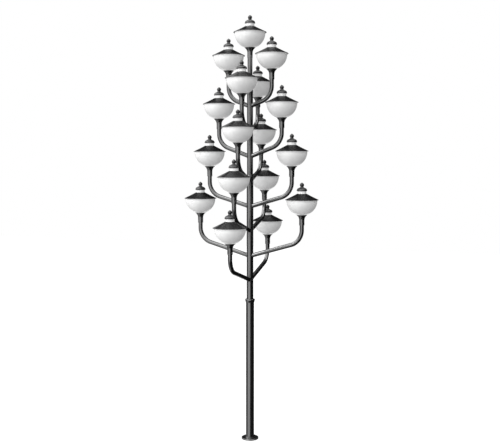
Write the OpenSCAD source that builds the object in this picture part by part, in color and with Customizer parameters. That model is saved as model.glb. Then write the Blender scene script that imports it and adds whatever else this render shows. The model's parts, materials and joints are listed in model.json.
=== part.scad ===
// Decorative lamp post: a stepped tubular mast that carries one lantern on its top
// and eight pairs of bent-tube arms, each arm ending in the same opal-bowl lantern.
// The pairs point by turns along X (side arms) and along Y (cross arms), and each
// tier reaches further out than the one above it.
// Origin: centre of the base flange's underside. +Z up the mast. Millimetres.

/* [Base flange] */
// Diameter of the round plate that is bolted to the foundation
flange_d = 290; // [240:5:420]
// Thickness of that plate
flange_t = 20; // [12:1:40]
// Distance from the plate's edge to the centres of the anchor holes
anchor_edge = 34; // [20:1:45]
// Diameter of one anchor hole
anchor_hole_d = 22; // [14:1:33]
// Number of anchor holes
anchor_count = 4; // [3:1:8]
// Diameter of the cable hole in the middle of the plate
cable_hole_d = 80; // [40:1:96]
// Bevel round the plate's upper edge
flange_bevel = 3; // [0:0.5:6]

/* [Mast tubes] */
// Outer diameter of the lowest tube
lower_d = 139.7; // [108:0.1:193.7]
// Outer diameter of the tube above the collar
middle_d = 114.3; // [88.9:0.1:139.7]
// Outer diameter of the next tube up
upper_d = 101.6; // [76.1:0.1:114.3]
// Outer diameter of the tube that carries the top lantern
top_d = 82.5; // [60.3:0.1:88.9]
// Wall of all four tubes
mast_wall = 4; // [3:0.5:8]
// Height of the lowest tube's upper end
lower_top = 2402; // [1800:1:3200]
// Height of the joint between the middle and the upper tube
middle_top = 4560; // [3600:1:5600]
// Height of the joint between the upper and the top tube
upper_top = 6120; // [5200:1:7000]
// Height over which a tube end is swaged down to the next diameter
swage_h = 30; // [15:1:80]
// Straight stub above each swage
swage_stub = 8; // [4:1:30]

/* [Collar] */
// How far the collar's band stands out beyond the lower tube
collar_stand = 13.15; // [6:0.05:40]
// Overall height of the collar
collar_h = 56; // [50:1:160]
// Height of the plain band round its upper end
collar_band_h = 18; // [8:1:30]
// Thickness of the ledge inside the collar that the middle tube stands on
collar_ledge = 12; // [5:1:25]

/* [Service door] */
// Height of the door's lower edge above the ground
door_z = 560; // [300:5:1200]
// Height of the opening
door_h = 400; // [250:5:600]
// Width of the opening
door_w = 86; // [60:1:110]
// Corner radius of the opening
door_corner_r = 16; // [6:1:30]
// Gap all round the closed door
door_gap = 1.5; // [0.5:0.1:4]
// Width of the backing frame behind the door's edge
door_lap = 14; // [8:1:25]
// Thickness of the backing frame
door_frame_t = 4; // [3:0.5:8]

/* [Arms] */
// Outer diameter of the arm tube
arm_d = 72; // [48:0.5:89]
// Wall of the arm tube
arm_wall = 3; // [2:0.5:6]
// Centreline radius of the bend
bend_r = 265; // [140:5:340]
// What the tube draws in, in radius, where it is bent
bend_draw = 0.05; // [0.02:0.01:0.5]
// Gap between the mast and the eaves of the highest, nearest pairs of lanterns
near_gap = 57.2; // [25:0.1:200]
// Extra reach of each tier below
reach_step = 177; // [155:1:260]
// Height of the highest side lanterns' eave above their arm's foot at the mast axis
foot_drop = 853; // [700:1:865]
// What that height grows by from one tier to the next
foot_drop_step = 38; // [0:1:60]
// How much smaller that height is on a cross pair than on the side pair of its tier
cross_foot_lift = 12; // [-20:1:60]
// Height that the sloping run gains per length of tube, two upper tiers
upper_rise = 0.352; // [0.2:0.001:0.5]
// Height that the sloping run gains per length of tube, two lower tiers
lower_rise = 0.28; // [0.2:0.001:0.4]

/* [Lantern heights] */
// Height of the eave of the top lantern
top_lamp_z = 6924; // [6700:1:8400]
// Drop from the top lantern to the highest side pair
side_lamp_drop = 368; // [320:1:500]
// Drop from one pair of lanterns to the next on the same sides
lamp_pitch = 805; // [795:1:970]
// Drop from a side pair of lanterns to the cross pair of its tier
cross_lamp_drop = 424; // [340:1:520]

/* [Lantern cup] */
// Diameter of the cup's lip under the bowl
cup_lip_d = 160; // [120:1:220]
// Metal round the thickest tube at the sleeve's lower end
sleeve_wall = 2.75; // [2:0.25:10]
// What the sleeve gains in radius up to the cup
sleeve_taper = 0.5; // [0:0.5:8]
// Length of the sleeve over the tube
sleeve_h = 88; // [60:1:180]
// Radius of the trumpet curve between sleeve and lip
cup_flare_r = 96; // [40:1:160]
// Height of the lip's plain edge
cup_lip_h = 10; // [2:0.5:20]

/* [Bowl] */
// Outer radius of the opal bowl
bowl_r = 256; // [200:1:320]
// Wall of the bowl
bowl_wall = 5; // [3:0.5:10]
// Distance of the bowl's widest circle below the eave
bowl_drop = 3; // [0:0.5:20]

/* [Roof] */
// Overhang of the roof's eave beyond the bowl
eave_overhang = 21; // [12:1:60]
// Height of the roof's flat top above the eave
roof_h = 106; // [60:1:180]
// Width of the flat land round the neck ring
roof_land = 4; // [1:0.5:30]
// Hollow of the roof's flank below a straight line
roof_sag = 2; // [0:0.5:15]
// Thickness of the spun sheet
roof_t = 3; // [1.5:0.5:6]
// Radius of the bead rolled round the eave
bead_r = 4; // [2.5:0.5:8]

/* [Neck and finial] */
// Outer diameter of the opal neck ring
neck_d = 146; // [110:1:180]
// Wall of the neck ring
neck_wall = 6; // [3:0.5:12]
// Height of the neck ring that shows between roof and finial
neck_h = 44; // [25:1:90]
// How far the bell's lip stands out beyond the neck ring
bell_stand = 13; // [8:1:40]
// Height of the lip's plain edge
bell_lip_h = 10; // [3:0.5:20]
// Depth to which the bell covers the neck ring
bell_cover = 10; // [4:1:20]
// Height of the bell from lip to stem
bell_h = 75; // [45:1:110]
// Diameter of the stem under the ball
stem_d = 52; // [30:1:80]
// Diameter of the ball
ball_d = 70; // [40:1:110]
// Height of the plain stem between bell and ball
stem_h = 1; // [0.5:0.5:40]
// Height of the tip above the ball
tip_h = 8; // [2:1:40]

/* [Hidden] */
// Running clearance between pieces that are fitted, not welded face to face
seat_gap = 0.3;
// Facets round a circle in the preview; the solids are true circles
$fn = 96;

tier_count = 4;
anchor_r = flange_d / 2 - anchor_edge;
collar_r = lower_d / 2 + collar_stand;
lip_r = cup_lip_d / 2;
sleeve_foot_r = max(arm_d, top_d) / 2 + sleeve_wall;
sleeve_r = sleeve_foot_r + sleeve_taper;
bowl_rim_r = bowl_r - bowl_wall;
eave_r = bowl_r + eave_overhang;
neck_r = neck_d / 2;
roof_top_r = neck_r + roof_land;
bell_r = neck_r + bell_stand;

// Slope of the roof's flank between bead and flat top
flank_r = eave_r - bead_r;
flank_z = 2 * bead_r;
function flank(u) = [
    flank_r + (roof_top_r - flank_r) * u,
    flank_z + (roof_h - flank_z) * u - 4 * roof_sag * u * (1 - u)
];
// Upright thickness of the sheet on the slope
sheet_z = roof_t / cos(atan((roof_h - flank_z) / (flank_r - roof_top_r)));
// Height at which the bowl's rim meets the underside of the roof
rim_u = (flank_r - bowl_r) / (flank_r - roof_top_r);
bowl_rim_z = flank(rim_u)[1] - sheet_z - seat_gap;

// Height of the cup's lip, where the bowl has the lip's radius
lip_z = -bowl_drop - sqrt(pow(bowl_r, 2) - pow(lip_r, 2));
// The trumpet curve turns until it reaches the lip
flare_a = acos(1 - (lip_r - sleeve_r) / cup_flare_r);
cup_foot_z = lip_z - cup_lip_h - cup_flare_r * sin(flare_a);
sleeve_foot_z = cup_foot_z - sleeve_h;

// Places of the arms and lanterns, tier 0 at the top
function reach(t) = upper_d / 2 + near_gap + eave_r + reach_step * t;
function rise(t) = asin(t < 2 ? upper_rise : lower_rise);
function side_lamp(t) = top_lamp_z - side_lamp_drop - lamp_pitch * t;
function cross_lamp(t) = side_lamp(t) - cross_lamp_drop;
function side_foot(t) = side_lamp(t) - foot_drop - foot_drop_step * t;
function cross_foot(t) = cross_lamp(t) - foot_drop - foot_drop_step * t + cross_foot_lift;

// Collar levels: the lower tube ends under the ledge, the middle tube stands on it
ledge_top = lower_top + collar_ledge;
collar_z = lower_top - collar_h * 0.4;
collar_top = collar_z + collar_h;

// Outline of the mast from the ground to the top lantern, grown by a clearance
function mast_outline(grow) = [
    [0, 0], [lower_d / 2 + grow, 0], [lower_d / 2 + grow, collar_z],
    [collar_r + grow, collar_z], [collar_r + grow, collar_top],
    [middle_d / 2 + grow, collar_top], [middle_d / 2 + grow, middle_top - swage_stub - swage_h],
    [upper_d / 2 + grow, middle_top - swage_stub],
    [upper_d / 2 + grow, upper_top - swage_stub - swage_h],
    [top_d / 2 + grow, upper_top - swage_stub], [top_d / 2 + grow, top_lamp_z], [0, top_lamp_z]
];

// Points along an arc, from angle a0 to a1
function arc(c, r, a0, a1, n = 10) =
    [for (i = [0:n]) let (a = a0 + (a1 - a0) * i / n) c + r * [cos(a), sin(a)]];

paint = [0.10, 0.10, 0.11];
casting = [0.14, 0.14, 0.15];
opal = [0.93, 0.93, 0.91];

// ---- base and mast

// Round plate with its anchor holes and the cable hole
module base_flange() {
    color(paint) difference() {
        rotate_extrude() polygon([[0, 0], [flange_d / 2, 0],
            [flange_d / 2, flange_t - flange_bevel],
            [flange_d / 2 - flange_bevel, flange_t], [0, flange_t]]);
        translate([0, 0, -1]) cylinder(d = cable_hole_d, h = flange_t + 2);
        for (i = [0:anchor_count - 1]) rotate((i + 0.5) * 360 / anchor_count)
            translate([anchor_r, 0, -1]) cylinder(d = anchor_hole_d, h = flange_t + 2);
    }
}

// Straight tube between two heights
module tube(d, wall, z0, z1) {
    translate([0, 0, z0]) difference() {
        cylinder(d = d, h = z1 - z0);
        translate([0, 0, -1]) cylinder(d = d - 2 * wall, h = z1 - z0 + 2);
    }
}

// Tube whose upper end is swaged down to the next tube's diameter
module swaged_tube(d, next_d, z0, z1) {
    cone_z = z1 - swage_h - swage_stub;
    rotate_extrude() polygon([
        [d / 2 - mast_wall, z0], [d / 2, z0], [d / 2, cone_z],
        [next_d / 2, cone_z + swage_h], [next_d / 2, z1],
        [next_d / 2 - mast_wall, z1], [next_d / 2 - mast_wall, cone_z + swage_h],
        [d / 2 - mast_wall, cone_z]]);
}

// Rounded upright rectangle, drawn flat
module door_outline(grow) {
    w = door_w + 2 * grow;
    h = door_h + 2 * grow;
    r = door_corner_r + grow;
    square([w - 2 * r, h], center = true);
    square([w, h - 2 * r], center = true);
    for (x = [-1, 1], z = [-1, 1]) translate([x * (w / 2 - r), z * (h / 2 - r)]) circle(r = r);
}

// The same outline driven through the back wall of the mast
module door_block(grow) {
    translate([0, lower_d, door_z + door_h / 2]) rotate([90, 0, 0])
        linear_extrude(height = lower_d) door_outline(grow);
}

module lower_post() {
    color(paint) difference() {
        tube(lower_d, mast_wall, flange_t, lower_top);
        door_block(0);
    }
}

// Backing frame welded inside the mast, which the door closes on
module door_frame() {
    frame_d = lower_d - 2 * mast_wall - 2 * seat_gap;
    color(paint) difference() {
        intersection() {
            tube(frame_d, door_frame_t, door_z - door_lap, door_z + door_h + door_lap);
            door_block(door_lap);
        }
        door_block(-door_lap);
    }
}

module service_door() {
    color(paint) intersection() {
        tube(lower_d, mast_wall, door_z, door_z + door_h);
        door_block(-door_gap);
    }
}

// Cast collar: a socket over the lower tube, a ledge, and a socket for the middle tube
module post_collar() {
    low_r = lower_d / 2 + seat_gap;
    high_r = middle_d / 2 + seat_gap;
    edge = 3;
    color(casting) rotate_extrude() polygon([
        [low_r, collar_z], [low_r + edge, collar_z],
        [collar_r, collar_top - collar_band_h], [collar_r, collar_top - edge],
        [collar_r - edge, collar_top], [high_r, collar_top],
        [high_r, ledge_top], [middle_d / 2 - mast_wall, ledge_top],
        [middle_d / 2 - mast_wall, lower_top], [low_r, lower_top]]);
}

module middle_post() {
    color(paint) swaged_tube(middle_d, upper_d, ledge_top, middle_top);
}

module upper_post() {
    color(paint) swaged_tube(upper_d, top_d, middle_top, upper_top);
}

module top_post() {
    color(paint) tube(top_d, mast_wall, upper_top, top_lamp_z + cup_foot_z - seat_gap);
}

// ---- arms

// Solid bar along an arm's centreline, drawn about the bend's centre: the sloping run
// back to the mast axis, the bend, and the upright
module arm_bar(d, run, slope, upright) {
    past = bend_r + d;
    rotate([90, 0, 0]) {
        difference() {
            rotate(-90) rotate_extrude(angle = 90) translate([bend_r, 0])
                circle(r = d / 2 - bend_draw);
            rotate(slope - 90) translate([0, -past, -past / 2]) cube(past);
        }
        rotate(slope - 90) translate([bend_r, 0, 0]) rotate([90, 0, 0]) cylinder(d = d, h = run);
        translate([bend_r, 0, 0]) rotate([-90, 0, 0]) cylinder(d = d, h = upright);
    }
}

// One bent tube, coped to sit on the round wall of the mast
module arm(foot_z, length, slope, lamp_z) {
    flat_run = length - bend_r * (1 - sin(slope));
    run = flat_run / cos(slope);
    bend_z = foot_z + flat_run * tan(slope) + bend_r * cos(slope);
    upright = lamp_z + cup_foot_z - seat_gap - bend_z;
    difference() {
        translate([length - bend_r, 0, bend_z]) difference() {
            arm_bar(arm_d, run, slope, upright);
            arm_bar(arm_d - 2 * arm_wall, run + 1, slope, upright + 1);
        }
        rotate_extrude() polygon(mast_outline(seat_gap));
    }
}

// Two opposed arms of one tier
module side_arms(t) {
    color(paint) for (a = [0, 180]) rotate(a) arm(side_foot(t), reach(t), rise(t), side_lamp(t));
}
module cross_arms(t) {
    color(paint) for (a = [90, 270]) rotate(a)
        arm(cross_foot(t), reach(t), rise(t), cross_lamp(t));
}

// ---- lantern, drawn with its eave at z = 0

// Trumpet cup with a socket for the tube below and a round seat for the bowl
module cup(tube_d) {
    socket_r = tube_d / 2 + seat_gap;
    flare = arc([sleeve_r + cup_flare_r, cup_foot_z], cup_flare_r, 180, 180 - flare_a, 12);
    difference() {
        rotate_extrude() polygon(concat(
            [[0, sleeve_foot_z], [sleeve_foot_r, sleeve_foot_z]],
            flare, [[lip_r, lip_z], [0, lip_z]]));
        translate([0, 0, sleeve_foot_z - 1]) cylinder(r = socket_r, h = sleeve_h + 1);
        translate([0, 0, -bowl_drop]) sphere(r = bowl_r + seat_gap);
    }
}

// Hemispherical bowl with a short upright rim under the roof
module bowl() {
    translate([0, 0, -bowl_drop]) difference() {
        union() {
            sphere(r = bowl_r);
            cylinder(r = bowl_r, h = bowl_rim_z + bowl_drop);
        }
        sphere(r = bowl_rim_r);
        cylinder(r = bowl_rim_r, h = bowl_r + 1);
        translate([0, 0, bowl_rim_z + bowl_drop]) cylinder(r = bowl_r + 1, h = bowl_r + 1);
    }
}

// Spun roof with a hollow flank, a flat top and a bead rolled round the eave
module roof() {
    n = 8;
    outer = [for (i = [0:n]) flank(i / n)];
    inner = [for (i = [n:-1:0]) flank(i / n) - [0, sheet_z]];
    land_r = neck_r - neck_wall;
    rotate_extrude() union() {
        polygon(concat(outer, [[land_r, roof_h], [land_r, roof_h - sheet_z]], inner));
        translate([flank_r, bead_r]) circle(r = bead_r);
    }
}

// Opal ring that stands on the roof's flat top and ends inside the bell
module neck() {
    tube(neck_d, neck_wall, roof_h, roof_h + neck_h + bell_cover);
}

// Turned finial: bell, stem, ball and point
module finial() {
    z0 = roof_h + neck_h;
    stem_r = stem_d / 2;
    shoulder_r = (bell_h - bell_lip_h) * 0.6;
    cove_r = (bell_h - bell_lip_h) * 0.3;
    turn = 63;
    bell = concat(
        arc([bell_r - shoulder_r, bell_lip_h], shoulder_r, 0, turn, 8),
        arc([stem_r + cove_r, bell_h], cove_r, 180 + turn, 180, 6));
    ball_r = ball_d / 2;
    ball_foot_r = min(stem_r, ball_r * 0.9);
    ball_foot_a = acos(ball_foot_r / ball_r);
    ball_z = bell_h + stem_h + ball_r * sin(ball_foot_a);
    knob = arc([0, ball_z], ball_r, -ball_foot_a, 45, 12);
    difference() {
        translate([0, 0, z0]) rotate_extrude() polygon(concat(
            [[0, 0], [bell_r, 0]], bell, knob, [[0, ball_z + ball_r + tip_h]]));
        translate([0, 0, z0 - 1]) cylinder(r = neck_r + 2, h = bell_cover + 1);
    }
}

// ---- the 17 lanterns

// Children are copied to the two side and two cross lanterns of a tier
module at_tier(t) {
    for (a = [0, 180]) rotate(a) translate([reach(t), 0, side_lamp(t)]) children();
    for (a = [90, 270]) rotate(a) translate([reach(t), 0, cross_lamp(t)]) children();
}
module at_top() { translate([0, 0, top_lamp_z]) children(); }

base_flange();
lower_post();
door_frame();
service_door();
post_collar();
middle_post();
upper_post();
top_post();
for (t = [0:tier_count - 1]) {
    side_arms(t);
    cross_arms(t);
    color(casting) at_tier(t) cup(arm_d);
    color(opal) at_tier(t) bowl();
    color(paint) at_tier(t) roof();
    color(opal) at_tier(t) neck();
    color(casting) at_tier(t) finial();
}
color(casting) at_top() cup(top_d);  // top_cup
color(opal) at_top() bowl();  // top_bowl
color(paint) at_top() roof();  // top_roof
color(opal) at_top() neck();  // top_neck
color(casting) at_top() finial();  // top_finial
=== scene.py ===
import json
import math
import bmesh
import bpy
from mathutils import Matrix, Vector


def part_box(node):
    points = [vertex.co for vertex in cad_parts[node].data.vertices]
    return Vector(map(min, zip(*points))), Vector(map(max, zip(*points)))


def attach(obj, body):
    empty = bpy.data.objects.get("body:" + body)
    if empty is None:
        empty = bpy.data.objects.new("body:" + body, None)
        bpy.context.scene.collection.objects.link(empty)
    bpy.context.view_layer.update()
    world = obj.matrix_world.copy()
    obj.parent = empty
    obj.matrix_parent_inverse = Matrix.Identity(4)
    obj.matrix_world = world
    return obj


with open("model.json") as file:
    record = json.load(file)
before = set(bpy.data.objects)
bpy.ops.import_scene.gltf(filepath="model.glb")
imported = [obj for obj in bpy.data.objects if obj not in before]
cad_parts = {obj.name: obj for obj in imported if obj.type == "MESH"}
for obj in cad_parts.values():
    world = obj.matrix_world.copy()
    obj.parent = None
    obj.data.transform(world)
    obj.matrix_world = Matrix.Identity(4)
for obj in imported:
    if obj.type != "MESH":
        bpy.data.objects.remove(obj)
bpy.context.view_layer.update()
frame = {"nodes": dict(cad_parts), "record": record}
cadNodes = frame["nodes"]
scene = bpy.context.scene
print("frame loaded,", len(cadNodes), "nodes")


cameraSet = {
    "turn": 20.35,  # degrees round from the front
    "tilt": 4.215,  # degrees down
    "away": 13.332,  # metres from the mast, on the level
    "height": 4.737,
    "lens": 56.66,  # millimetres
    "sensor": 36,
    "farthest": 300,
}


def makeCamera(s):
    turn = math.radians(s["turn"])
    data = bpy.data.cameras.new("camera")
    data.sensor_width = s["sensor"]
    data.lens = s["lens"]
    data.clip_end = s["farthest"]
    camera = bpy.data.objects.new("camera", data)
    camera.location = (math.sin(turn) * s["away"], -math.cos(turn) * s["away"], s["height"])
    camera.rotation_euler = (math.radians(90 - s["tilt"]), 0, turn)
    scene.collection.objects.link(camera)
    scene.camera = camera


makeCamera(cameraSet)
print("camera set")


armTiers = range(1, 5)  # from the top down
probeStart = 0.4  # metres out, where a ray towards a surface starts


# each lantern's eave on its axis, and the way its arm points
def lanternPlaces():
    topLow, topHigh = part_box("top_roof")
    places = [{"tier": "top", "axis": Vector((0, 0, topLow.z)), "out": 0.0}]
    for tier in armTiers:
        low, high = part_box(f"roofs_{tier}")
        reach = high.x - topHigh.x
        sideEave = high.z - (topHigh.z - topLow.z)
        for quarter in range(4):
            turn = quarter * math.pi / 2
            eave = sideEave if quarter % 2 == 0 else low.z  # side arms stand higher than cross arms
            axis = Vector((math.cos(turn) * reach, math.sin(turn) * reach, eave))
            places.append({"tier": tier, "axis": axis, "out": turn})
    return places


def cadName(kind, tier):
    return f"top_{kind}" if tier == "top" else f"{kind}s_{tier}"


def surfaceRadius(nodeName, axis, z, angle):
    outward = Vector((math.cos(angle), math.sin(angle), 0))
    centre = Vector((axis.x, axis.y, z))
    place = cadNodes[nodeName].ray_cast(centre + outward * probeStart, -outward)[1]
    return (place - centre).length


lanterns = lanternPlaces()
print("lanterns placed:", len(lanterns))


def newMaterial(name):
    material = bpy.data.materials.new(name)
    material.use_nodes = True
    return material, material.node_tree, material.node_tree.nodes["Principled BSDF"]


def objectNoise(tree, scale, detail, stretch=(1, 1, 1)):
    coords = tree.nodes.new("ShaderNodeTexCoord")
    mapping = tree.nodes.new("ShaderNodeMapping")
    noise = tree.nodes.new("ShaderNodeTexNoise")
    mapping.inputs["Scale"].default_value = stretch
    noise.inputs["Scale"].default_value = scale
    noise.inputs["Detail"].default_value = detail
    tree.links.new(coords.outputs["Object"], mapping.inputs["Vector"])
    tree.links.new(mapping.outputs["Vector"], noise.inputs["Vector"])
    return noise.outputs["Fac"]


def ramp(tree, source, low, high, start=0.35, end=0.65):
    node = tree.nodes.new("ShaderNodeValToRGB")
    node.color_ramp.elements[0].position = start
    node.color_ramp.elements[1].position = end
    node.color_ramp.elements[0].color = (*low, 1)
    node.color_ramp.elements[1].color = (*high, 1)
    tree.links.new(source, node.inputs["Fac"])
    return node.outputs["Color"]


def spread(tree, source, low, high, start=0.3, end=0.7):
    node = tree.nodes.new("ShaderNodeMapRange")
    node.inputs["From Min"].default_value = start
    node.inputs["From Max"].default_value = end
    node.inputs["To Min"].default_value = low
    node.inputs["To Max"].default_value = high
    tree.links.new(source, node.inputs["Value"])
    return node.outputs["Result"]


def addBump(tree, shader, source, strength, depth):
    node = tree.nodes.new("ShaderNodeBump")
    node.inputs["Strength"].default_value = strength
    node.inputs["Distance"].default_value = depth
    tree.links.new(source, node.inputs["Height"])
    tree.links.new(node.outputs["Normal"], shader.inputs["Normal"])


dustSet = {"from": 0.52, "full": 0.8}  # the parts of the streak noise that hold dust


# gloss black over steel, with dust in the rain streaks
def makeBlackPaint(name, s):
    material, tree, shader = newMaterial(name)
    clean = ramp(tree, objectNoise(tree, s["cloud"], 4), s["dark"], s["light"])
    streaks = objectNoise(tree, 1, 4, s["streaks"])
    mix = tree.nodes.new("ShaderNodeMix")
    mix.data_type = "RGBA"
    mix.inputs["B"].default_value = (*s["dust"], 1)
    tree.links.new(spread(tree, streaks, 0, s["dusty"], dustSet["from"], dustSet["full"]),
                   mix.inputs["Factor"])
    tree.links.new(clean, mix.inputs["A"])
    tree.links.new(mix.outputs["Result"], shader.inputs["Base Color"])
    tree.links.new(spread(tree, objectNoise(tree, s["patch"], 3), s["smooth"], s["rough"]),
                   shader.inputs["Roughness"])
    shader.inputs["Specular IOR Level"].default_value = s["gleam"]
    shader.inputs["IOR"].default_value = s["lacquer"]
    addBump(tree, shader, objectNoise(tree, 1, 3, s["grain"]), s["bump"], s["depth"])
    return material


mastPaint = makeBlackPaint("mastPaint", {
    "dark": (0.005, 0.005, 0.0055),
    "light": (0.009, 0.009, 0.0095),
    "cloud": 2.5,
    "dust": (0.045, 0.043, 0.040),
    "dusty": 0.12,
    "streaks": (28, 28, 1.6),  # rain marks, long up and down
    "patch": 14,
    "smooth": 0.17,
    "rough": 0.24,
    "gleam": 1.0,
    "lacquer": 1.70,  # index of the gloss coat
    "grain": (700, 700, 700),  # orange peel, waves to the metre
    "bump": 0.05,
    "depth": 0.0002,
})
castingPaint = makeBlackPaint("castingPaint", {
    "dark": (0.005, 0.005, 0.0055),
    "light": (0.010, 0.010, 0.0105),
    "cloud": 6,
    "dust": (0.050, 0.048, 0.045),
    "dusty": 0.3,
    "streaks": (60, 60, 8),
    "patch": 40,
    "smooth": 0.20,
    "rough": 0.30,
    "gleam": 1.0,
    "lacquer": 1.70,
    "grain": (1100, 1100, 1100),  # cast grain under the paint
    "bump": 0.2,
    "depth": 0.0003,
})
finialPaint = makeBlackPaint("finialPaint", {
    "dark": (0.005, 0.005, 0.0055),
    "light": (0.010, 0.010, 0.0105),
    "cloud": 9,
    "dust": (0.050, 0.048, 0.045),
    "dusty": 0.3,
    "streaks": (80, 80, 12),
    "patch": 60,
    "smooth": 0.34,
    "rough": 0.44,
    "gleam": 0.5,
    "lacquer": 1.50,
    "grain": (1300, 1300, 1300),
    "bump": 0.2,
    "depth": 0.0003,
})
roofPaint = makeBlackPaint("roofPaint", {
    "dark": (0.0035, 0.0035, 0.0037),
    "light": (0.005, 0.005, 0.0053),
    "cloud": 5,
    "dust": (0.050, 0.048, 0.045),
    "dusty": 0.05,
    "streaks": (70, 70, 9),
    "patch": 30,
    "smooth": 0.22,
    "rough": 0.28,
    "gleam": 0.5,
    "lacquer": 1.50,
    "grain": (3, 3, 420),  # spinning marks round the cone
    "bump": 0.06,
    "depth": 0.0004,
})
weldPaint = makeBlackPaint("weldPaint", {
    "dark": (0.006, 0.006, 0.0065),
    "light": (0.011, 0.011, 0.0115),
    "cloud": 30,
    "dust": (0.050, 0.046, 0.040),
    "dusty": 0.5,
    "streaks": (90, 90, 90),
    "patch": 120,
    "smooth": 0.24,
    "rough": 0.36,
    "gleam": 0.9,
    "lacquer": 1.65,
    "grain": (900, 900, 900),
    "bump": 0.3,
    "depth": 0.0003,
})


opalSet = {
    "shade": (0.49, 0.49, 0.49),
    "milk": (0.53, 0.53, 0.53),
    "gloss": 0.22,
    "glow": 0.28,  # painted glow: the bowl gives off light of its own, though the lamp inside it is not lit
    "cloud": 9,
    "waves": 60,
    "bump": 0.03,
    "depth": 0.0005,
}


def makeOpal(s):
    material, tree, shader = newMaterial("opalBowl")
    tree.links.new(ramp(tree, objectNoise(tree, s["cloud"], 3), s["shade"], s["milk"]),
                   shader.inputs["Base Color"])
    shader.inputs["Roughness"].default_value = s["gloss"]
    # painted glow: a white emission lightens every bowl, though no lamp in it is lit
    shader.inputs["Emission Color"].default_value = (1, 1, 1, 1)
    shader.inputs["Emission Strength"].default_value = s["glow"]
    addBump(tree, shader, objectNoise(tree, s["waves"], 2), s["bump"], s["depth"])
    return material


zincSet = {
    "dull": (0.24, 0.245, 0.25),
    "bright": (0.38, 0.385, 0.39),
    "spangle": 180,
    "metal": 0.85,
    "patch": 90,
    "smooth": 0.4,
    "rough": 0.6,
}


def makeZinc(s):
    material, tree, shader = newMaterial("zinc")
    tree.links.new(ramp(tree, objectNoise(tree, s["spangle"], 4), s["dull"], s["bright"]),
                   shader.inputs["Base Color"])
    shader.inputs["Metallic"].default_value = s["metal"]
    tree.links.new(spread(tree, objectNoise(tree, s["patch"], 2), s["smooth"], s["rough"]),
                   shader.inputs["Roughness"])
    return material


rubberSet = {
    "colour": (0.012, 0.012, 0.012),
    "faded": (0.02, 0.02, 0.02),
    "cloud": 50,
    "rough": 0.7,
}


def makeRubber(s):
    material, tree, shader = newMaterial("sealRubber")
    tree.links.new(ramp(tree, objectNoise(tree, s["cloud"], 2), s["colour"], s["faded"]),
                   shader.inputs["Base Color"])
    shader.inputs["Roughness"].default_value = s["rough"]
    return material


opal = makeOpal(opalSet)
zinc = makeZinc(zincSet)
rubber = makeRubber(rubberSet)
finishes = {
    "mast_paint": mastPaint,
    "casting_paint": castingPaint,
    "roof_paint": roofPaint,
    "opal_glass": opal,
    "galvanised": zinc,
}


# the finials are duller than the other castings
def dressFrame():
    for row in frame["record"]["subparts"]:
        finish = finialPaint if "finial" in row["node"] else finishes[row["material_slot"]]
        cadNodes[row["node"]].data.materials.clear()
        cadNodes[row["node"]].data.materials.append(finish)


dressFrame()
print("materials made:", len(bpy.data.materials))


weldSet = {
    "thick": 0.0045,  # radius of the bead
    "step": 0.0021,  # one ripple takes two steps
    "ripple": 0.84,
    "near": 0.09,  # metres out from the mast's axis, where an arm's run is first measured
    "gap": 0.06,  # from there to where it is measured again
    "overhead": 9,  # metres up, above every arm
    "above": 0.01,  # how far over a joint the tube's radius is read
    "side": 0.3,  # and on which side of it, in radians
}
postNames = ("lower_post", "middle_post", "upper_post", "top_post")
upward = Vector((0, 0, 1))


def postRadius(z, angle):
    hits = []
    for name in postNames:
        low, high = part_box(name)
        if low.z <= z <= high.z:
            hits.append(surfaceRadius(name, Vector((0, 0, z)), z, angle))
    return max(hits)


def ringPath(centre, radius, step):
    count = 2 * round(math.pi * radius / step)
    turns = (2 * math.pi * n / count for n in range(count))
    return [centre + Vector((math.cos(t) * radius, math.sin(t) * radius, 0)) for t in turns]


# where an arm's run leaves the mast's axis, its direction and the tube's radius
def armLine(name, outward, s):
    middles, half = [], 0
    for out in (s["near"], s["near"] + s["gap"]):
        place = outward * out
        top = cadNodes[name].ray_cast(place + upward * s["overhead"], -upward)[1]
        foot = cadNodes[name].ray_cast(place, upward)[1]
        middles.append((top + foot) / 2)
        half = (top - foot).length / 2
    along = (middles[1] - middles[0]).normalized()
    start = middles[0] - along * (s["near"] / along.dot(outward))
    return start, along, half * along.dot(outward)


# the line on which the arm's tube meets the round mast
def saddlePath(start, along, outward, armRadius, mastRadius, step):
    side = outward.cross(upward)
    upper = side.cross(along)
    count = 2 * round(math.pi * armRadius / step)
    path = []
    for n in range(count):
        turn = 2 * math.pi * n / count
        offset = (side * math.cos(turn) + upper * math.sin(turn)) * armRadius
        reach = math.sqrt(mastRadius ** 2 - offset.dot(side) ** 2)
        rise = (reach - offset.dot(outward)) / along.dot(outward)
        path.append(start + offset + along * rise)
    return path


# closed round beads along the paths; every second point is drawn in by the ripple
def makeBeads(name, paths, thick, ripple, sides=2):
    curve = bpy.data.curves.new(name, "CURVE")
    curve.dimensions = "3D"
    curve.bevel_depth = thick
    curve.bevel_resolution = sides
    for path in paths:
        spline = curve.splines.new("POLY")
        spline.points.add(len(path) - 1)
        for n, place in enumerate(path):
            spline.points[n].co = (*place, 1)
            spline.points[n].radius = 1 if n % 2 else ripple
        spline.use_cyclic_u = True
    rough = bpy.data.objects.new(name + "Curve", curve)
    scene.collection.objects.link(rough)
    depsgraph = bpy.context.evaluated_depsgraph_get()
    mesh = bpy.data.meshes.new_from_object(rough.evaluated_get(depsgraph))
    bpy.data.objects.remove(rough)
    return mesh


def addPiece(name, mesh, material):
    piece = bpy.data.objects.new(name, mesh)
    mesh.materials.clear()
    mesh.materials.append(material)
    mesh.shade_smooth()
    scene.collection.objects.link(piece)
    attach(piece, "root")


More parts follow.
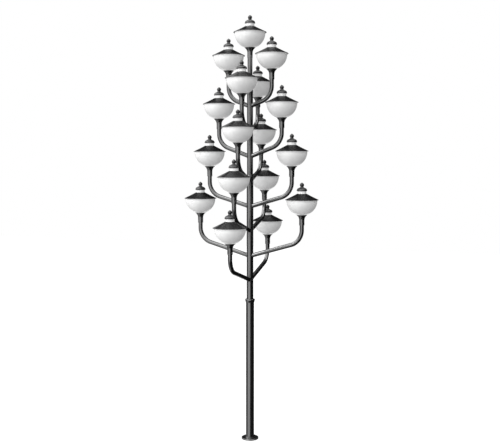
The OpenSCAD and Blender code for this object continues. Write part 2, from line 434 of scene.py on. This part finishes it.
def makeWelds(s):
    paths = []
    for kind, ways in (("side", (Vector((1, 0, 0)), Vector((-1, 0, 0)))),
                       ("cross", (Vector((0, 1, 0)), Vector((0, -1, 0))))):
        for tier in armTiers:
            for outward in ways:
                name = f"{kind}_arms_{tier}"
                start, along, armRadius = armLine(name, outward, s)
                footZ = start.z + along.z * postRadius(start.z, 0) / along.dot(outward)
                mastRadius = postRadius(footZ, math.atan2(outward.y, outward.x))
                paths.append(saddlePath(start, along, outward, armRadius, mastRadius, s["step"]))
    addPiece("armWelds", makeBeads("armWelds", paths, s["thick"], s["ripple"]),
             weldPaint)
    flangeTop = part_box("base_flange")[1].z
    rings = [(flangeTop, postRadius(flangeTop + s["above"], s["side"]))]
    for name in ("upper_post", "top_post"):
        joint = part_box(name)[0].z
        radius = surfaceRadius(name, Vector((0, 0, joint)), joint + s["above"], s["side"])
        rings.append((joint, radius))
    ringPaths = [ringPath(Vector((0, 0, z)), r, s["step"]) for z, r in rings]
    addPiece("mastWelds", makeBeads("mastWelds", ringPaths, s["thick"], s["ripple"]),
             weldPaint)
    print("welds made:", len(paths) + len(rings))


makeWelds(weldSet)


screwSet = {
    "cup": {"radius": 0.005, "proud": 0.0028, "sides": 12, "rise": 0.034},  # rise above its foot
    "collar": {"radius": 0.005, "proud": 0.0028, "sides": 12, "rise": 0.047},
    "finial": {"radius": 0.0035, "proud": 0.002, "sides": 12, "rise": 0.005},
    "sunk": 0.002,
    "count": 3,
    "firstTurn": 60,  # degrees from the arm's own direction
}


headSet = {  # shares of the screw's radius, the last one of how far it stands proud
    "bevel": 0.16,
    "rim": 0.3,
    "wall": 0.02,
    "deep": 0.8,
}


sortWay = Vector((0.31, 0.53, 1))  # no two corners of a head lie equally far along it


# bevel leaves its new corners and faces in an order of its own, which this makes the same each run
def sortShape(bm):
    bm.verts.sort(key=lambda v: v.co.dot(sortWay))
    bm.faces.sort(key=lambda f: f.calc_center_median().dot(sortWay))


# a round head with a recess, standing on z = 0
def screwShape(size, sunk):
    bm = bmesh.new()
    bmesh.ops.create_cone(bm, cap_ends=True, segments=size["sides"], radius1=size["radius"],
                          radius2=size["radius"], depth=size["proud"] + sunk)
    bmesh.ops.translate(bm, verts=bm.verts, vec=(0, 0, (size["proud"] - sunk) / 2))
    top = max(bm.faces, key=lambda f: f.calc_center_median().z)
    bmesh.ops.bevel(bm, geom=list(top.edges), offset=size["radius"] * headSet["bevel"],
                    affect="EDGES", segments=2, profile=0.5, material=-1)
    top = max(bm.faces, key=lambda f: f.calc_center_median().z)
    bmesh.ops.inset_region(bm, faces=[top], thickness=size["radius"] * headSet["rim"])
    bmesh.ops.inset_region(bm, faces=[top], thickness=size["radius"] * headSet["wall"],
                           depth=-size["proud"] * headSet["deep"])
    sortShape(bm)
    mesh = bpy.data.meshes.new("screwShape")
    bm.to_mesh(mesh)
    bm.free()
    return mesh


def addCopy(bm, shape, place, outward):
    seat = Matrix.Translation(place) @ outward.to_track_quat("Z", "Y").to_matrix().to_4x4()
    before = len(bm.verts)
    bm.from_mesh(shape)
    bm.verts.ensure_lookup_table()
    bmesh.ops.transform(bm, matrix=seat, verts=bm.verts[before:])


def addScrewRing(bm, shape, name, axis, z, out, s):
    for n in range(s["count"]):
        angle = out + math.radians(s["firstTurn"] + n * 360 / s["count"])
        outward = Vector((math.cos(angle), math.sin(angle), 0))
        radius = surfaceRadius(name, axis, z, angle)
        addCopy(bm, shape, Vector((axis.x, axis.y, z)) + outward * radius, outward)


def makeScrews(s):
    shapes = {kind: screwShape(s[kind], s["sunk"]) for kind in ("cup", "collar", "finial")}
    bm = bmesh.new()
    for kind in ("cup", "finial"):
        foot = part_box(cadName(kind, "top"))[0].z - lanterns[0]["axis"].z
        for row in lanterns:
            z = row["axis"].z + foot + s[kind]["rise"]
            name = cadName(kind, row["tier"])
            addScrewRing(bm, shapes[kind], name, row["axis"], z, row["out"], s)
    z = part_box("post_collar")[0].z + s["collar"]["rise"]
    addScrewRing(bm, shapes["collar"], "post_collar", Vector((0, 0, z)), z, 0, s)
    mesh = bpy.data.meshes.new("setScrews")
    bm.to_mesh(mesh)
    bm.free()
    addPiece("setScrews", mesh, zinc)
    print("screws made:", s["count"] * (2 * len(lanterns) + 1))


makeScrews(screwSet)


doorSet = {
    "lock": {"radius": 0.012, "proud": 0.0015, "sides": 32},
    "key": {"radius": 0.0048, "proud": 0.0006, "sides": 3},  # three-sided stud inside the lock
    "sunk": 0.003,
    "fromEnd": 0.055,  # lock's middle to the door's end
    "sealThick": 0.0008,
    "sealDepth": 0.0018,  # seal's middle below the mast's surface
    "gap": 0.0015,  # between the door and the mast's opening
    "corner": 0.016,
    "cornerSteps": 8,
    "step": 0.006,
}


# round the door's edge, in the gap, following the mast's curve
def doorSealPath(s):
    low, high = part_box("service_door")
    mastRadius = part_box("lower_post")[1].x
    wide = high.x + s["gap"] / 2 - s["corner"]
    tall = (high.z - low.z) / 2 + s["gap"] / 2 - s["corner"]
    middle = (high.z + low.z) / 2
    corners = []
    for n, (right, up) in enumerate(((1, 1), (-1, 1), (-1, -1), (1, -1))):
        for k in range(s["cornerSteps"] + 1):
            turn = math.pi / 2 * (n + k / s["cornerSteps"])
            corners.append(Vector((right * wide + math.cos(turn) * s["corner"],
                                   up * tall + math.sin(turn) * s["corner"])))
    path = []
    for start, end in zip(corners, corners[1:] + corners[:1]):
        pieces = max(1, math.ceil((end - start).length / s["step"]))
        for k in range(pieces):
            flat = start.lerp(end, k / pieces)
            y = math.sqrt(mastRadius ** 2 - flat.x ** 2) - s["sealDepth"]
            path.append(Vector((flat.x, y, middle + flat.y)))
    return path


def makeDoorFittings(s):
    low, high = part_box("service_door")
    shapes = [screwShape(s[kind], s["sunk"]) for kind in ("lock", "key")]
    bm = bmesh.new()
    for z in (low.z + s["fromEnd"], high.z - s["fromEnd"]):
        for shape in shapes:
            addCopy(bm, shape, Vector((0, high.y, z)), Vector((0, 1, 0)))
    mesh = bpy.data.meshes.new("doorLocks")
    bm.to_mesh(mesh)
    bm.free()
    addPiece("doorLocks", mesh, zinc)
    seal = makeBeads("doorSeal", [doorSealPath(s)], s["sealThick"], 1)
    addPiece("doorSeal", seal, rubber)
    print("door locks and seal made")


makeDoorFittings(doorSet)


gasketSet = {
    "thick": 0.0025,
    "rise": 0.0065,  # above the eave
    "out": 0.0025,  # beyond the bowl's rim
    "step": 0.012,
}


def makeGaskets(s):
    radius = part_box("top_bowl")[1].x + s["out"]
    paths = [ringPath(row["axis"] + Vector((0, 0, s["rise"])), radius, s["step"])
             for row in lanterns]
    addPiece("bowlGaskets", makeBeads("bowlGaskets", paths, s["thick"], 1), rubber)
    print("gaskets made:", len(paths))


makeGaskets(gasketSet)


cupBeadSet = {
    "thick": 0.0045,
    "out": 0.002,  # beyond the cup's lip
    "drop": 0.0035,  # below its top
    "step": 0.008,
    "sides": 4,
}


# the rolled bead round each cup's lip, tight under the bowl
def makeCupBeads(s):
    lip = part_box("top_cup")[1]
    rise = lip.z - lanterns[0]["axis"].z - s["drop"]
    paths = [ringPath(row["axis"] + Vector((0, 0, rise)), lip.x + s["out"], s["step"])
             for row in lanterns]
    addPiece("cupBeads", makeBeads("cupBeads", paths, s["thick"], 1, s["sides"]),
             castingPaint)
    print("cup beads made:", len(paths))


makeCupBeads(cupBeadSet)


studioSet = {
    "floorPale": 0.9,
    "floorSeen": 1.03,  # the glow that brings it near the backdrop's white
    "floorShade": 0.12,  # how much of the real shading shows
    "floorRough": 0.9,
    "floorSize": 60,
    "backdrop": 1.0,
    "sky": {"from": 0.77, "to": 0.92, "low": 0.01, "high": 1.0},
    "boxes": [  # soft boxes: degrees round from the front, degrees up, strength, where it fades
        {"turn": -10, "rise": 18, "strength": 1.75, "full": 0.78, "gone": 0.64},
        {"turn": -42, "rise": 34, "strength": 2.5, "full": 0.97, "gone": 0.90},
        {"turn": 60, "rise": 74, "strength": 3.4, "full": 0.90, "gone": 0.76},
        {"turn": -72, "rise": 46, "strength": 3.7, "full": 0.90, "gone": 0.76},
        {"turn": -60, "rise": -48, "strength": 0.8, "full": 0.90, "gone": 0.80},
        {"turn": -108, "rise": 15, "strength": 0.8, "full": 0.95, "gone": 0.82},
        {"turn": 204, "rise": -30, "strength": 1.4, "full": 0.97, "gone": 0.88},
    ],
}


# a pale ground that only the camera sees
def makeFloor(s):
    mesh = bpy.data.meshes.new("floor")
    bm = bmesh.new()
    bmesh.ops.create_grid(bm, x_segments=1, y_segments=1, size=s["floorSize"] / 2)
    bm.to_mesh(mesh)
    bm.free()
    floor = bpy.data.objects.new("floor", mesh)
    material, tree, shader = newMaterial("paleFloor")
    shader.inputs["Roughness"].default_value = s["floorRough"]
    path = tree.nodes.new("ShaderNodeLightPath")
    shader.inputs["Base Color"].default_value = (s["floorPale"], s["floorPale"], s["floorPale"], 1)
    seen = tree.nodes.new("ShaderNodeEmission")
    seen.inputs["Strength"].default_value = s["floorSeen"]
    share = tree.nodes.new("ShaderNodeMath")
    share.operation = "MULTIPLY"
    share.inputs[1].default_value = 1 - s["floorShade"]
    tree.links.new(path.outputs["Is Camera Ray"], share.inputs[0])
    mix = tree.nodes.new("ShaderNodeMixShader")
    tree.links.new(share.outputs["Value"], mix.inputs["Fac"])
    tree.links.new(shader.outputs["BSDF"], mix.inputs[1])
    tree.links.new(seen.outputs["Emission"], mix.inputs[2])
    tree.links.new(mix.outputs["Shader"], tree.nodes["Material Output"].inputs["Surface"])
    floor.data.materials.append(material)
    scene.collection.objects.link(floor)
    floor.visible_diffuse = False
    floor.visible_glossy = False


# how nearly a ray points in the direction, from -1 to 1
def skySide(tree, direction):
    coords = tree.nodes.new("ShaderNodeTexCoord")
    dot = tree.nodes.new("ShaderNodeVectorMath")
    dot.operation = "DOT_PRODUCT"
    dot.inputs[1].default_value = direction
    tree.links.new(coords.outputs["Generated"], dot.inputs[0])
    return dot.outputs["Value"]


def fade(tree, source, start, end, low, high):
    node = tree.nodes.new("ShaderNodeMapRange")
    node.interpolation_type = "SMOOTHSTEP"
    node.inputs["From Min"].default_value = start
    node.inputs["From Max"].default_value = end
    node.inputs["To Min"].default_value = low
    node.inputs["To Max"].default_value = high
    tree.links.new(source, node.inputs["Value"])
    return node.outputs["Result"]


# the camera sees a plain backdrop, and the post sees the sky and the soft boxes
def makeWorld(s):
    world = bpy.data.worlds.new("studio")
    world.use_nodes = True
    tree = world.node_tree
    tree.nodes.clear()
    output = tree.nodes.new("ShaderNodeOutputWorld")
    seen = tree.nodes.new("ShaderNodeBackground")
    cast = tree.nodes.new("ShaderNodeBackground")
    mix = tree.nodes.new("ShaderNodeMixShader")
    path = tree.nodes.new("ShaderNodeLightPath")
    sky = s["sky"]
    total = fade(tree, skySide(tree, (0, 0, 1)), sky["from"], sky["to"], sky["low"], sky["high"])
    for box in s["boxes"]:
        out, up = math.radians(box["turn"]), math.radians(box["rise"])
        middle = (math.sin(out) * math.cos(up), -math.cos(out) * math.cos(up), math.sin(up))
        glow = fade(tree, skySide(tree, middle), box["gone"], box["full"], 0, box["strength"])
        add = tree.nodes.new("ShaderNodeMath")
        tree.links.new(total, add.inputs[0])
        tree.links.new(glow, add.inputs[1])
        total = add.outputs["Value"]
    tree.links.new(total, cast.inputs["Strength"])
    seen.inputs["Strength"].default_value = s["backdrop"]
    seen.inputs["Color"].default_value = (1, 1, 1, 1)
    cast.inputs["Color"].default_value = (1, 1, 1, 1)
    tree.links.new(path.outputs["Is Camera Ray"], mix.inputs["Fac"])
    tree.links.new(cast.outputs["Background"], mix.inputs[1])
    tree.links.new(seen.outputs["Background"], mix.inputs[2])
    tree.links.new(mix.outputs["Shader"], output.inputs["Surface"])
    scene.world = world


lightSet = {
    "turn": -24,
    "away": 11.0,
    "height": 6.5,
    "aim": 4.2,  # height on the mast
    "size": (3.0, 8.0),
    "watts": 10,
}


def makeLight(s):
    data = bpy.data.lights.new("key", "AREA")
    data.shape = "RECTANGLE"
    data.size, data.size_y = s["size"]
    data.energy = s["watts"]
    turn = math.radians(s["turn"])
    lamp = bpy.data.objects.new("key", data)
    lamp.location = (math.sin(turn) * s["away"], -math.cos(turn) * s["away"], s["height"])
    aim = Vector((0, 0, s["aim"]))
    lamp.rotation_euler = (aim - lamp.location).to_track_quat("-Z", "Y").to_euler()
    scene.collection.objects.link(lamp)


makeFloor(studioSet)
makeWorld(studioSet)
makeLight(lightSet)
scene.view_settings.view_transform = "Standard"
print("studio made")
